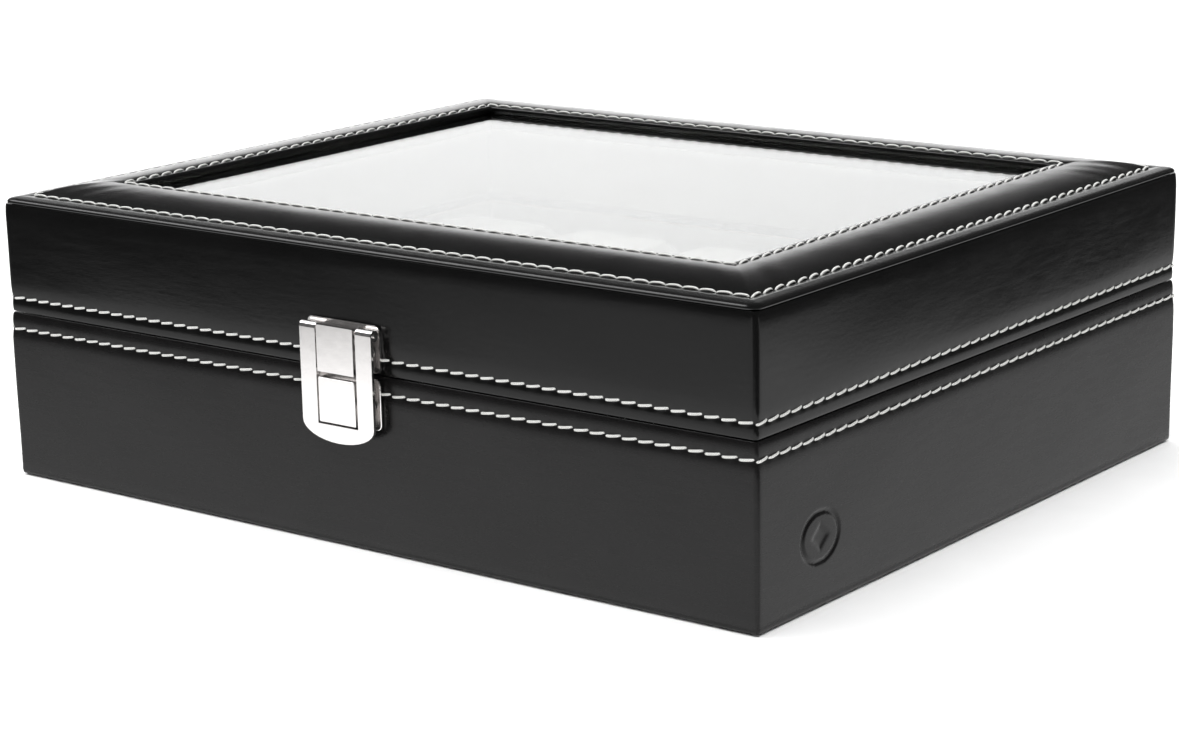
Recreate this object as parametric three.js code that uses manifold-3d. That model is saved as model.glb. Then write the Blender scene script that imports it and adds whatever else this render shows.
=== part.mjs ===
// A ten-place watch box: board carcass in black leather, glazed lid, two rear hinges and a front latch.
// Millimetres, +Z up, front face towards -Y. The origin is the centre of the underside.
import * as THREE from 'three';
import { mergeVertices } from 'three/addons/utils/BufferGeometryUtils.js';
import Module from 'manifold-3d';

const wasm = await Module();
wasm.setup();

// Overall sizes
const BOX_WIDTH = 250;
const BOX_DEPTH = 207;
const BASE_TOP = 46.6;
const LID_BOTTOM = 47.4;
const LID_WALL_TOP = 77.3;
const PAD_TOP = 82.6;
const LID_SETBACK = 0.4; // the lid's walls stand this far behind the base's
const CORNER_RADIUS = 2;

// Stock thicknesses
const CLEARANCE = 0.3; // air between touching pieces
const LEATHER = 1;
const BOARD = 8;
const FLOOR_BOARD = 4;
const TOP_BOARD = 5;
const TOP_BOARD_PROUD = 0.2; // its top stands this far above the edge of the lid's leather
const LINING = 1;
const FELT = 0.8;
const LEATHER_LOW = 0.4; // the hide stops just off the ground
const DIVIDER = 4;
const GLASS = 2;
const GLASS_PROUD = 1.7; // the pane's top stands this far above the lid's top board
const CORNER_SEGMENTS = 2; // each corner arc becomes twice as many edges
const OVERSHOOT = 1; // how far a cutting shape reaches past what it cuts

// Half sizes of each layer, from the outside in
const SKIN = LEATHER + CLEARANCE;
const base = layers(BOX_WIDTH / 2, BOX_DEPTH / 2);
const lid = layers(BOX_WIDTH / 2 - LID_SETBACK, BOX_DEPTH / 2 - LID_SETBACK);

// Window in the lid
const WINDOW_INSET_X = 24.5;
const WINDOW_INSET_Y = 25.7;
const GLASS_OVERLAP = 3.5;
const BEAD_SETBACK = 0.5;
const PAD_SETBACK = 0.6;
const PAD_BEVEL = 1.6;
const windowHalfX = lid.halfX - WINDOW_INSET_X;
const windowHalfY = lid.halfY - WINDOW_INSET_Y;
const glassHalfX = windowHalfX + GLASS_OVERLAP;
const glassHalfY = windowHalfY + GLASS_OVERLAP;
const TOP_BOARD_HIGH = LID_WALL_TOP + TOP_BOARD_PROUD;
const TOP_BOARD_LOW = TOP_BOARD_HIGH - TOP_BOARD;
const GLASS_HIGH = TOP_BOARD_HIGH + GLASS_PROUD;
const GLASS_LOW = GLASS_HIGH - GLASS;
const PAD_LOW = TOP_BOARD_HIGH + CLEARANCE;
const LID_CEILING = TOP_BOARD_LOW - CLEARANCE;

// Inside of the base
const BOARD_LOW = FELT + CLEARANCE;
const TRAY_LOW = BOARD_LOW + FLOOR_BOARD + CLEARANCE;
const TRAY_FLOOR = TRAY_LOW + LINING;
const PIECE_LOW = TRAY_FLOOR + CLEARANCE;
const COLUMNS = 5;
const DIVIDER_TOP = 38;
const CUSHION_WIDTH = 40;
const CUSHION_LENGTH = 78;
const CUSHION_HEIGHT = 39;
const CUSHION_ROUND = 13;
const CUSHION_BEVEL = 3;

// Sewing thread
const THREAD_WIDTH = 0.9;
const THREAD_THICKNESS = 0.4;
const THREAD_GAP = 0.1;
const BASE_SEAM_Z = 42.4;
const LID_SEAM_Z = 51.1;
const OUTER_SEAM_INSET = 5.4;
const INNER_SEAM_INSET = 22.7;

// Latch, centred on the front
const LATCH_HALF_WIDTH = 12;
const PLATE = 0.6;
const PLATE_GAP = THREAD_THICKNESS + 2 * THREAD_GAP; // the plates bridge the stitching
const PLATE_ROUND = 1.5;
const CATCH_PLATE_LOW = 33;
const CATCH_PLATE_HIGH = 46.3;
const LID_PLATE_LOW = 47.7;
const LID_PLATE_HIGH = 60;
const FLAP_THICKNESS = 0.8;
const FLAP_FRONT = 4.05; // how far the flap's front stands off the base's front
const FLAP_SIDE_LOW = 33.7;
const FLAP_TIP = 28.7;
const TIP_SEGMENTS = 8; // the flap's bowed lower end becomes twice as many edges
const FLAP_WINDOW_HALF = 6.75;
const FLAP_WINDOW_LOW = 33.2;
const LATCH_BLOCK_HALF = 6.1;
const LID_BLOCK_LOW = 46.9;
const LID_BLOCK_HIGH = 59;
const LID_BLOCK_FRONT = 4.3;
const CATCH_BLOCK_LOW = 33.8;
const CATCH_BLOCK_HIGH = 45.4;
const LATCH_KNUCKLE_RADIUS = 1.45;
const LATCH_PIN_RADIUS = 0.55;
const LATCH_PIN_Z = 57.8;
const latchPinY = -base.halfY - FLAP_FRONT + LATCH_KNUCKLE_RADIUS;

// Rear hinges
const HINGE_CENTRES = { left: -75, right: 75 };
const HINGE_AXIS_OFFSET = 2.4;
const HINGE_AXIS_Z = 47;
const HINGE_HALF_WIDTH = 14;
const HINGE_LEAF_HEIGHT = 14;
const HINGE_CENTRE_HALF = 4.7;
const HINGE_NOTCH = 2.1;
const HINGE_KNUCKLE_RADIUS = 1.7;
const HINGE_PIN_RADIUS = 0.8;
const HINGE_SCREW_OFFSET = 9;
const HINGE_SCREW_DROP = 9;
const LID_LEAF_GAP = PLATE_GAP + CLEARANCE;
const PIN_CLEARANCE = 0.1;
const PIN_OVERHANG = 0.4;
const hingeAxisY = base.halfY + HINGE_AXIS_OFFSET;

// Fasteners
const SCREW = {
  headRadius: 2,
  crownRadius: 1.4,
  headHeight: 0.8,
  shankRadius: 0.9,
  slot: 0.5,
  slotReach: 1.3,
};
const NAIL = {
  headRadius: 1.3,
  crownRadius: 0.9,
  headHeight: 0.6,
  shankRadius: 0.6,
  slot: 0,
  slotReach: 0,
};
const SHANK_DEPTH = 7; // how deep a shank goes below the leather's face
const HOLE_SLACK = 0.25;
const NAIL_OFFSET = 9.4;
const CATCH_NAIL_Z = 39.5;
const LID_NAIL_Z = 53;
const ROUND_SIDES = 20;
const SHANK_SIDES = 8;

const X = new THREE.Vector3(1, 0, 0);
const Y = new THREE.Vector3(0, 1, 0);
const Z = new THREE.Vector3(0, 0, 1);
const UPRIGHT_FRONT = new THREE.Matrix4().makeBasis(X, Z, Y.clone().negate()); // drawn in X and Z
const UPRIGHT_SIDE = new THREE.Matrix4().makeBasis(Y, Z, X); // drawn in Y and Z

const leather = finish('#17171a', 0.4, 0);
const board = finish('#a58a63', 0.85, 0);
const suede = finish('#77756f', 0.95, 0);
const pillow = finish('#8f8c86', 0.95, 0);
const felt = finish('#1b1b1c', 1, 0);
const thread = finish('#dcdcd6', 0.8, 0);
const chrome = finish('#dfe0e2', 0.15, 1);
const glass = new THREE.MeshStandardMaterial({
  color: '#eef3f3', roughness: 0.03, metalness: 0, transparent: true, opacity: 0.35,
});

const group = new THREE.Group();

function finish(color, roughness, metalness) {
  return new THREE.MeshStandardMaterial({ color, roughness, metalness });
}

// The nested half sizes of a leather-covered and lined wall.
function layers(halfX, halfY) {
  const inset = (distance) => ({ x: halfX - distance, y: halfY - distance });
  return {
    halfX,
    halfY,
    leatherInside: inset(LEATHER),
    boardOutside: inset(SKIN),
    boardInside: inset(SKIN + BOARD),
    liningOutside: inset(SKIN + BOARD + CLEARANCE),
    liningInside: inset(SKIN + BOARD + CLEARANCE + LINING),
  };
}

function addPart(name, geometry, material) {
  const mesh = new THREE.Mesh(geometry, material);
  mesh.name = name;
  group.add(mesh);
}

function solid(geometry) {
  const bare = geometry.clone();
  bare.deleteAttribute('normal');
  bare.deleteAttribute('uv');
  const merged = mergeVertices(bare, 1e-4);
  return new wasm.Manifold(new wasm.Mesh({
    numProp: 3,
    vertProperties: new Float32Array(merged.attributes.position.array),
    triVerts: new Uint32Array(merged.index.array),
  }));
}

function geometryOf(manifold) {
  const mesh = manifold.getMesh();
  const geometry = new THREE.BufferGeometry();
  geometry.setAttribute('position', new THREE.BufferAttribute(mesh.vertProperties, 3));
  geometry.setIndex(new THREE.BufferAttribute(mesh.triVerts, 1));
  return geometry;
}

function join(...geometries) {
  return geometryOf(geometries.map(solid).reduce((whole, piece) => whole.add(piece)));
}

function cut(geometry, ...tools) {
  return geometryOf(tools.map(solid).reduce((whole, tool) => whole.subtract(tool), solid(geometry)));
}

function block(x, y, z) {
  const box = new THREE.BoxGeometry(x[1] - x[0], y[1] - y[0], z[1] - z[0]);
  return box.translate((x[0] + x[1]) / 2, (y[0] + y[1]) / 2, (z[0] + z[1]) / 2);
}

// A closed outline with rounded corners, drawn anticlockwise.
function roundedOutline(Outline, low, high, radius) {
  const outline = new Outline();
  outline.absarc(high.x - radius, low.y + radius, radius, -Math.PI / 2, 0);
  outline.absarc(high.x - radius, high.y - radius, radius, 0, Math.PI / 2);
  outline.absarc(low.x + radius, high.y - radius, radius, Math.PI / 2, Math.PI);
  outline.absarc(low.x + radius, low.y + radius, radius, Math.PI, 1.5 * Math.PI);
  outline.closePath();
  return outline;
}

function centredOutline(Outline, half, radius) {
  return roundedOutline(Outline, { x: -half.x, y: -half.y }, half, radius);
}

function extrude(shape, low, high, curveSegments = CORNER_SEGMENTS) {
  const options = { depth: high - low, bevelEnabled: false, curveSegments };
  return new THREE.ExtrudeGeometry(shape, options).translate(0, 0, low);
}

function slab(half, radius, low, high) {
  return extrude(centredOutline(THREE.Shape, half, radius), low, high);
}

// A frame between two rounded outlines.
function frame(outer, outerRadius, inner, innerRadius) {
  const shape = centredOutline(THREE.Shape, outer, outerRadius);
  shape.holes.push(centredOutline(THREE.Path, inner, innerRadius));
  return shape;
}

function grown(half, distance) {
  return { x: half.x + distance, y: half.y + distance };
}

function rodAlongX(radius, low, high, y, z, sides) {
  const rod = new THREE.CylinderGeometry(radius, radius, high - low, sides);
  return rod.rotateZ(-Math.PI / 2).translate((low + high) / 2, y, z);
}

function rodAlongY(radius, low, high, x, z, sides) {
  const rod = new THREE.CylinderGeometry(radius, radius, high - low, sides);
  return rod.translate(x, (low + high) / 2, z);
}

// An upright plate parallel to the front, its outline given in X and Z.
function frontPlate(shape, yLow, yHigh, curveSegments = CORNER_SEGMENTS) {
  return extrude(shape, 0, yHigh - yLow, curveSegments).applyMatrix4(UPRIGHT_FRONT).translate(0, yHigh, 0);
}

// A screw or nail in the front (side -1) or back (side 1), head on the outside.
function fastener(kind, side, x, z, seat, skinFace) {
  const headLow = seat + CLEARANCE;
  const tip = skinFace - SHANK_DEPTH;
  const profile = [
    new THREE.Vector2(0, tip),
    new THREE.Vector2(kind.shankRadius, tip + kind.shankRadius),
    new THREE.Vector2(kind.shankRadius, headLow),
    new THREE.Vector2(kind.headRadius, headLow),
    new THREE.Vector2(kind.headRadius, headLow + kind.headHeight / 2),
    new THREE.Vector2(kind.crownRadius, headLow + kind.headHeight),
    new THREE.Vector2(0, headLow + kind.headHeight),
  ];
  let body = new THREE.LatheGeometry(profile, SHANK_SIDES);
  if (kind.slot > 0) {
    const long = [-kind.slotReach, kind.slotReach];
    const narrow = [-kind.slot / 2, kind.slot / 2];
    const depth = [headLow + kind.headHeight / 2, headLow + kind.headHeight + OVERSHOOT];
    body = cut(body, block(long, depth, narrow), block(narrow, depth, long));
  }
  return body.rotateX(side > 0 ? 0 : Math.PI).translate(x, 0, z);
}

function fastenerHole(kind, side, x, z, face) {
  const ends = [side * (face - SHANK_DEPTH - 2 * HOLE_SLACK), side * (face + 2 * SKIN)];
  const radius = kind.shankRadius + HOLE_SLACK;
  return rodAlongY(radius, Math.min(...ends), Math.max(...ends), x, z, SHANK_SIDES);
}

const hingeScrewXs = Object.values(HINGE_CENTRES).flatMap(
  (centre) => [centre - HINGE_SCREW_OFFSET, centre + HINGE_SCREW_OFFSET],
);
const baseScrewZ = HINGE_AXIS_Z - HINGE_SCREW_DROP;
const lidScrewZ = HINGE_AXIS_Z + HINGE_SCREW_DROP;
const nailXs = [-NAIL_OFFSET, NAIL_OFFSET];

const baseFrontHoles = nailXs.map((x) => fastenerHole(NAIL, -1, x, CATCH_NAIL_Z, base.halfY));
const baseBackHoles = hingeScrewXs.map((x) => fastenerHole(SCREW, 1, x, baseScrewZ, base.halfY));
const lidFrontHoles = nailXs.map((x) => fastenerHole(NAIL, -1, x, LID_NAIL_Z, lid.halfY));
const lidBackHoles = hingeScrewXs.map((x) => fastenerHole(SCREW, 1, x, lidScrewZ, lid.halfY));

// Four boards, butt-jointed: front and back run the full width, the sides fit between them.
function addWalls(prefix, size, low, high, frontHoles, backHoles) {
  const { boardOutside: outside, boardInside: inside } = size;
  const longX = [-outside.x, outside.x];
  const sideY = [-inside.y + CLEARANCE, inside.y - CLEARANCE];
  const height = [low, high];
  addPart(`${prefix}_front_board`, cut(block(longX, [-outside.y, -inside.y], height), ...frontHoles), board);
  addPart(`${prefix}_back_board`, cut(block(longX, [inside.y, outside.y], height), ...backHoles), board);
  addPart(`${prefix}_left_board`, block([-outside.x, -inside.x], sideY, height), board);
  addPart(`${prefix}_right_board`, block([inside.x, outside.x], sideY, height), board);
}

function addBaseCarcass() {
  const rimUnderside = BASE_TOP - LEATHER;
  const boardHigh = rimUnderside - CLEARANCE;
  addWalls('base', base, BOARD_LOW, boardHigh, baseFrontHoles, baseBackHoles);
  const floorHalf = grown(base.boardInside, -CLEARANCE);
  addPart('base_floor_board', slab(floorHalf, CLEARANCE, BOARD_LOW, BOARD_LOW + FLOOR_BOARD), board);

  // One skin over the outside of the walls and over their top edges.
  const hide = slab({ x: base.halfX, y: base.halfY }, CORNER_RADIUS, LEATHER_LOW, BASE_TOP);
  const carcassRoom = slab(base.leatherInside, CORNER_RADIUS / 2, 0, rimUnderside);
  const mouth = slab(base.liningInside, CORNER_RADIUS / 2, 0, BASE_TOP + OVERSHOOT);
  addPart('base_leather_wrap', cut(hide, carcassRoom, mouth, ...baseFrontHoles, ...baseBackHoles), leather);

  const trayOutside = slab(base.liningOutside, CORNER_RADIUS, TRAY_LOW, boardHigh);
  const trayInside = slab(base.liningInside, CORNER_RADIUS / 2, TRAY_FLOOR, BASE_TOP);
  addPart('base_lining', cut(trayOutside, trayInside), suede);

  const feltHalf = grown(base.boardOutside, -CLEARANCE);
  addPart('underside_felt', slab(feltHalf, CORNER_RADIUS / 2, 0, FELT), felt);
}

// Egg-crate dividers: the long one is slotted from above, the cross ones from below.
const trayHalf = grown(base.liningInside, -CLEARANCE);
const cellWidth = (2 * base.liningInside.x - (COLUMNS - 1) * DIVIDER) / COLUMNS;
const cellPitch = cellWidth + DIVIDER;
const lapHeight = (PIECE_LOW + DIVIDER_TOP) / 2;
const lapHalf = DIVIDER / 2 + CLEARANCE;

function addDividers() {
  const slotXs = Array.from({ length: COLUMNS - 1 }, (_, i) => (i + 1 - COLUMNS / 2) * cellPitch);
  const long = block([-trayHalf.x, trayHalf.x], [-DIVIDER / 2, DIVIDER / 2], [PIECE_LOW, DIVIDER_TOP]);
  const slots = slotXs.map(
    (x) => block([x - lapHalf, x + lapHalf], [-DIVIDER, DIVIDER], [lapHeight, DIVIDER_TOP + OVERSHOOT]),
  );
  addPart('divider_long', cut(long, ...slots), suede);
  slotXs.forEach((x, i) => {
    const thickness = [x - DIVIDER / 2, x + DIVIDER / 2];
    const cross = block(thickness, [-trayHalf.y, trayHalf.y], [PIECE_LOW, DIVIDER_TOP]);
    const slot = block([x - DIVIDER, x + DIVIDER], [-lapHalf, lapHalf], [0, lapHeight + CLEARANCE]);
    addPart(`divider_cross_${i + 1}`, cut(cross, slot), suede);
  });
}

// A watch pillow: a soft oval loop as seen from the side, so that a strap closes round it.
function pillowGeometry() {
  const half = { x: CUSHION_LENGTH / 2 - CUSHION_BEVEL, y: CUSHION_HEIGHT / 2 - CUSHION_BEVEL };
  const outline = centredOutline(THREE.Shape, half, CUSHION_ROUND - CUSHION_BEVEL);
  const depth = CUSHION_WIDTH - 2 * CUSHION_BEVEL;
  const options = {
    depth,
    bevelEnabled: true,
    bevelThickness: CUSHION_BEVEL,
    bevelSize: CUSHION_BEVEL,
    bevelSegments: 2,
    curveSegments: CORNER_SEGMENTS,
  };
  return new THREE.ExtrudeGeometry(outline, options).translate(0, 0, -depth / 2).applyMatrix4(UPRIGHT_SIDE);
}

function addPillows() {
  const rowY = (base.liningInside.y + DIVIDER / 2) / 2;
  const rows = { front: -rowY, back: rowY };
  for (const [row, y] of Object.entries(rows)) {
    for (let column = 0; column < COLUMNS; column += 1) {
      const x = (column - (COLUMNS - 1) / 2) * cellPitch;
      const placed = pillowGeometry().translate(x, y, PIECE_LOW + CUSHION_HEIGHT / 2);
      addPart(`cushion_${row}_${column + 1}`, placed, pillow);
    }
  }
}

function addLidCarcass() {
  const rimTop = LID_BOTTOM + LEATHER;
  const boardLow = rimTop + CLEARANCE;
  addWalls('lid', lid, boardLow, LID_CEILING, lidFrontHoles, lidBackHoles);

  const glassHalf = { x: glassHalfX, y: glassHalfY };
  const glassRoom = grown(glassHalf, CLEARANCE);
  const topShape = frame(lid.boardOutside, CLEARANCE, glassRoom, CLEARANCE);
  addPart('lid_top_board', extrude(topShape, TOP_BOARD_LOW, TOP_BOARD_HIGH), board);

  const hide = slab({ x: lid.halfX, y: lid.halfY }, CORNER_RADIUS, LID_BOTTOM, LID_WALL_TOP);
  const carcassRoom = slab(lid.leatherInside, CORNER_RADIUS / 2, rimTop, LID_WALL_TOP + OVERSHOOT);
  const mouth = slab(lid.liningInside, CORNER_RADIUS / 2, 0, LID_WALL_TOP + OVERSHOOT);
  addPart('lid_leather_wrap', cut(hide, carcassRoom, mouth, ...lidFrontHoles, ...lidBackHoles), leather);

  const windowHalf = { x: windowHalfX, y: windowHalfY };
  const liningOutside = slab(lid.liningOutside, CORNER_RADIUS, boardLow, LID_CEILING);
  const liningInside = slab(lid.liningInside, CORNER_RADIUS / 2, LID_BOTTOM, LID_CEILING - LINING);
  const lookOut = slab(windowHalf, CLEARANCE, LID_BOTTOM, LID_WALL_TOP);
  addPart('lid_lining', cut(liningOutside, liningInside, lookOut), suede);

  addPart('glass_pane', slab(glassHalf, CLEARANCE, GLASS_LOW, GLASS_HIGH), glass);
  const beadShape = frame(glassHalf, CLEARANCE, grown(windowHalf, BEAD_SETBACK), CLEARANCE);
  addPart('glass_bead', extrude(beadShape, TOP_BOARD_LOW, GLASS_LOW - CLEARANCE), board);

  const rebate = slab(glassRoom, CLEARANCE, TOP_BOARD_HIGH, GLASS_HIGH + CLEARANCE);
  addPart('top_pad', cut(padGeometry(windowHalf), rebate), leather);
}

// The padded leather frame over the lid: rounded at its outer and inner edges.
function padGeometry(windowHalf) {
  const outer = { x: lid.halfX - PAD_SETBACK, y: lid.halfY - PAD_SETBACK };
  const options = {
    depth: PAD_TOP - PAD_LOW - 2 * PAD_BEVEL,
    bevelEnabled: true,
    bevelThickness: PAD_BEVEL,
    bevelSize: PAD_BEVEL,
    bevelOffset: -PAD_BEVEL,
    bevelSegments: 3,
    curveSegments: CORNER_SEGMENTS,
  };
  const shape = frame(outer, 2 * CORNER_RADIUS, windowHalf, CORNER_RADIUS);
  return new THREE.ExtrudeGeometry(shape, options).translate(0, 0, PAD_LOW + PAD_BEVEL);
}

// A band of thread round a wall, just proud of the leather.
function wallSeam(name, half, z) {
  const inner = grown(half, THREAD_GAP);
  const outer = grown(inner, THREAD_THICKNESS);
  const radius = CORNER_RADIUS + THREAD_GAP;
  const shape = frame(outer, radius + THREAD_THICKNESS, inner, radius);
  addPart(name, extrude(shape, z - THREAD_WIDTH / 2, z + THREAD_WIDTH / 2), thread);
}

// A band of thread lying on the padded frame at a distance in from the lid's edge.
function padSeam(name, inset) {
  const outer = { x: lid.halfX - inset + THREAD_WIDTH / 2, y: lid.halfY - inset + THREAD_WIDTH / 2 };
  const shape = frame(outer, CORNER_RADIUS, grown(outer, -THREAD_WIDTH), CORNER_RADIUS / 2);
  const low = PAD_TOP + THREAD_GAP;
  addPart(name, extrude(shape, low, low + THREAD_THICKNESS), thread);
}

function addSeams() {
  wallSeam('base_stitching', { x: base.halfX, y: base.halfY }, BASE_SEAM_Z);
  wallSeam('lid_stitching', { x: lid.halfX, y: lid.halfY }, LID_SEAM_Z);
  padSeam('pad_outer_stitching', OUTER_SEAM_INSET);
  padSeam('pad_inner_stitching', INNER_SEAM_INSET);
}

function latchPlate(low, high, face) {
  const corners = [{ x: -LATCH_HALF_WIDTH, y: low }, { x: LATCH_HALF_WIDTH, y: high }];
  const shape = roundedOutline(THREE.Shape, ...corners, PLATE_ROUND);
  return frontPlate(shape, -face - PLATE_GAP - PLATE, -face - PLATE_GAP);
}

function addLatch() {
  const catchPlateFront = base.halfY + PLATE_GAP + PLATE;
  const lidPlateFront = lid.halfY + PLATE_GAP + PLATE;
  const blockX = [-LATCH_BLOCK_HALF, LATCH_BLOCK_HALF];
  const flapBack = base.halfY + FLAP_FRONT - FLAP_THICKNESS;
  const flapFront = base.halfY + FLAP_FRONT;
  const pinBore = rodAlongX(
    LATCH_PIN_RADIUS + PIN_CLEARANCE, -BOX_WIDTH, BOX_WIDTH, latchPinY, LATCH_PIN_Z, ROUND_SIDES,
  );

  // The nose stops just short of the closed flap, so the flap can ride up past it with the lid.
  const noseY = [-flapBack + CLEARANCE / 2, -catchPlateFront + PLATE / 2];
  const nose = block(blockX, noseY, [CATCH_BLOCK_LOW, CATCH_BLOCK_HIGH]);
  const catchPlate = join(latchPlate(CATCH_PLATE_LOW, CATCH_PLATE_HIGH, base.halfY), nose);
  addPart('latch_catch', cut(catchPlate, ...baseFrontHoles), chrome);

  const blockFront = -base.halfY - LID_BLOCK_FRONT;
  const boss = block(blockX, [blockFront, -lidPlateFront + PLATE / 2], [LID_BLOCK_LOW, LID_BLOCK_HIGH]);
  const lidPlate = join(latchPlate(LID_PLATE_LOW, LID_PLATE_HIGH, lid.halfY), boss);
  addPart('latch_lid_plate', cut(lidPlate, pinBore, ...lidFrontHoles), chrome);

  const plate = frontPlate(flapOutline(), -flapFront, -flapBack, TIP_SEGMENTS);
  const rolls = [[-LATCH_HALF_WIDTH, -FLAP_WINDOW_HALF], [FLAP_WINDOW_HALF, LATCH_HALF_WIDTH]];
  const knuckles = rolls.map(
    ([low, high]) => rodAlongX(LATCH_KNUCKLE_RADIUS, low, high, latchPinY, LATCH_PIN_Z, ROUND_SIDES),
  );
  addPart('latch_flap', cut(join(plate, ...knuckles), pinBore), chrome);

  const pinHalf = LATCH_HALF_WIDTH + PIN_OVERHANG;
  const pin = rodAlongX(LATCH_PIN_RADIUS, -pinHalf, pinHalf, latchPinY, LATCH_PIN_Z, ROUND_SIDES);
  addPart('latch_pin', pin, chrome);

  const sides = ['left', 'right'];
  sides.forEach((name, i) => {
    const catchNail = fastener(NAIL, -1, nailXs[i], CATCH_NAIL_Z, catchPlateFront, base.halfY);
    addPart(`latch_catch_nail_${name}`, catchNail, chrome);
    const lidNail = fastener(NAIL, -1, nailXs[i], LID_NAIL_Z, lidPlateFront, lid.halfY);
    addPart(`latch_lid_nail_${name}`, lidNail, chrome);
  });
}

// A U open at the top, its lower edge a half ellipse to lift it by.
function flapOutline() {
  const drop = FLAP_SIDE_LOW - FLAP_TIP;
  const shape = new THREE.Shape();
  shape.absellipse(0, FLAP_SIDE_LOW, LATCH_HALF_WIDTH, drop, Math.PI, 2 * Math.PI);
  shape.lineTo(LATCH_HALF_WIDTH, LATCH_PIN_Z);
  shape.lineTo(FLAP_WINDOW_HALF, LATCH_PIN_Z);
  shape.lineTo(FLAP_WINDOW_HALF, FLAP_WINDOW_LOW);
  shape.lineTo(-FLAP_WINDOW_HALF, FLAP_WINDOW_LOW);
  shape.lineTo(-FLAP_WINDOW_HALF, LATCH_PIN_Z);
  shape.lineTo(-LATCH_HALF_WIDTH, LATCH_PIN_Z);
  shape.closePath();
  return shape;
}

// One hinge: a leaf on the base with the two outer knuckles, a leaf on the lid with the middle one.
function addHinge(side, centre) {
  const wide = [centre - HINGE_HALF_WIDTH, centre + HINGE_HALF_WIDTH];
  const middle = [centre - HINGE_CENTRE_HALF, centre + HINGE_CENTRE_HALF];
  const past = [wide[0] - OVERSHOOT, wide[1] + OVERSHOOT];
  const outers = [[wide[0], middle[0] - CLEARANCE], [middle[1] + CLEARANCE, wide[1]]];
  const knuckle = ([low, high]) => rodAlongX(
    HINGE_KNUCKLE_RADIUS, low, high, hingeAxisY, HINGE_AXIS_Z, ROUND_SIDES,
  );
  const leaf = (low, high, face) => {
    const corners = [{ x: wide[0], y: low }, { x: wide[1], y: high }];
    return frontPlate(roundedOutline(THREE.Shape, ...corners, PLATE_ROUND), face, face + PLATE);
  };
  const bore = rodAlongX(
    HINGE_PIN_RADIUS + PIN_CLEARANCE, past[0], past[1], hingeAxisY, HINGE_AXIS_Z, ROUND_SIDES,
  );
  const slice = [0, BOX_DEPTH];

  // Each leaf runs past the axis and is trimmed, so that only its far corners stay rounded.
  const baseFace = base.halfY + PLATE_GAP;
  const baseLeaf = leaf(HINGE_AXIS_Z - HINGE_LEAF_HEIGHT, HINGE_AXIS_Z + 2 * PLATE_ROUND, baseFace);
  const aboveAxis = block(past, slice, [HINGE_AXIS_Z, LID_WALL_TOP]);
  const baseNotch = block(
    [middle[0] - CLEARANCE, middle[1] + CLEARANCE], slice, [HINGE_AXIS_Z - HINGE_NOTCH, LID_WALL_TOP],
  );
  const basePlate = cut(baseLeaf, aboveAxis, baseNotch, ...baseBackHoles);
  addPart(`hinge_base_leaf_${side}`, cut(join(basePlate, ...outers.map(knuckle)), bore), chrome);

  const lidFace = lid.halfY + LID_LEAF_GAP;
  const lidLeaf = leaf(HINGE_AXIS_Z - 2 * PLATE_ROUND, HINGE_AXIS_Z + HINGE_LEAF_HEIGHT, lidFace);
  const belowAxis = block(past, slice, [0, HINGE_AXIS_Z]);
  const shoulders = [[past[0], middle[0]], [middle[1], past[1]]].map(
    (x) => block(x, slice, [0, HINGE_AXIS_Z + HINGE_NOTCH]),
  );
  const lidPlate = cut(lidLeaf, belowAxis, ...shoulders, ...lidBackHoles);
  addPart(`hinge_lid_leaf_${side}`, cut(join(lidPlate, knuckle(middle)), bore), chrome);

  const pin = rodAlongX(
    HINGE_PIN_RADIUS, wide[0] - PIN_OVERHANG, wide[1] + PIN_OVERHANG, hingeAxisY, HINGE_AXIS_Z, ROUND_SIDES,
  );
  addPart(`hinge_pin_${side}`, pin, chrome);

  [centre - HINGE_SCREW_OFFSET, centre + HINGE_SCREW_OFFSET].forEach((x, i) => {
    const baseScrew = fastener(SCREW, 1, x, baseScrewZ, baseFace + PLATE, base.halfY);
    addPart(`hinge_base_screw_${side}_${i + 1}`, baseScrew, chrome);
    const lidScrew = fastener(SCREW, 1, x, lidScrewZ, lidFace + PLATE, lid.halfY);
    addPart(`hinge_lid_screw_${side}_${i + 1}`, lidScrew, chrome);
  });
}

addBaseCarcass();
addDividers();
addPillows();
addLidCarcass();
addSeams();
addLatch();
for (const [side, centre] of Object.entries(HINGE_CENTRES)) {
  addHinge(side, centre);
}

export default group;
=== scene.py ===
import math

import bmesh
import bpy
import numpy as np
from mathutils import Matrix, Vector


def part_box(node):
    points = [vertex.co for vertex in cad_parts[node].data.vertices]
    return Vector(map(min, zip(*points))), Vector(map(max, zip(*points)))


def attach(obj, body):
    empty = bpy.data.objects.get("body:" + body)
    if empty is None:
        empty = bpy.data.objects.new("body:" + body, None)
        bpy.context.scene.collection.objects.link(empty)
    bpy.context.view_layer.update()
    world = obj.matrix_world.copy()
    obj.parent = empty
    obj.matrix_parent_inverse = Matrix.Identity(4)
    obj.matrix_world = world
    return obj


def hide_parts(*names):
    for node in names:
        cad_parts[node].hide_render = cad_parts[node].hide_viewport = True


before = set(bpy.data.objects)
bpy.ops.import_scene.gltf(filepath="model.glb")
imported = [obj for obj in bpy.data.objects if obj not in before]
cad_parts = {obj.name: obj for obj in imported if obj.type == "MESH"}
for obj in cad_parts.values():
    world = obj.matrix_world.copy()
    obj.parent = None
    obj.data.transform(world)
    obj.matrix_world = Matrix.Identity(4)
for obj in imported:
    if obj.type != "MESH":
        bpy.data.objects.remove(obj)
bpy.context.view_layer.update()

# All lengths below are in millimetres until put_mesh() writes them in metres.
MM = 0.001


def cad_box(node):
    """Lowest and highest corner of a CAD node, in millimetres."""
    low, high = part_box(node)
    return np.array(low) / MM, np.array(high) / MM


def cad_half(node):
    """Half width and half depth of a CAD node that is centred on the origin."""
    low, high = cad_box(node)
    return (high[0] - low[0]) / 2, (high[1] - low[1]) / 2


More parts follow.
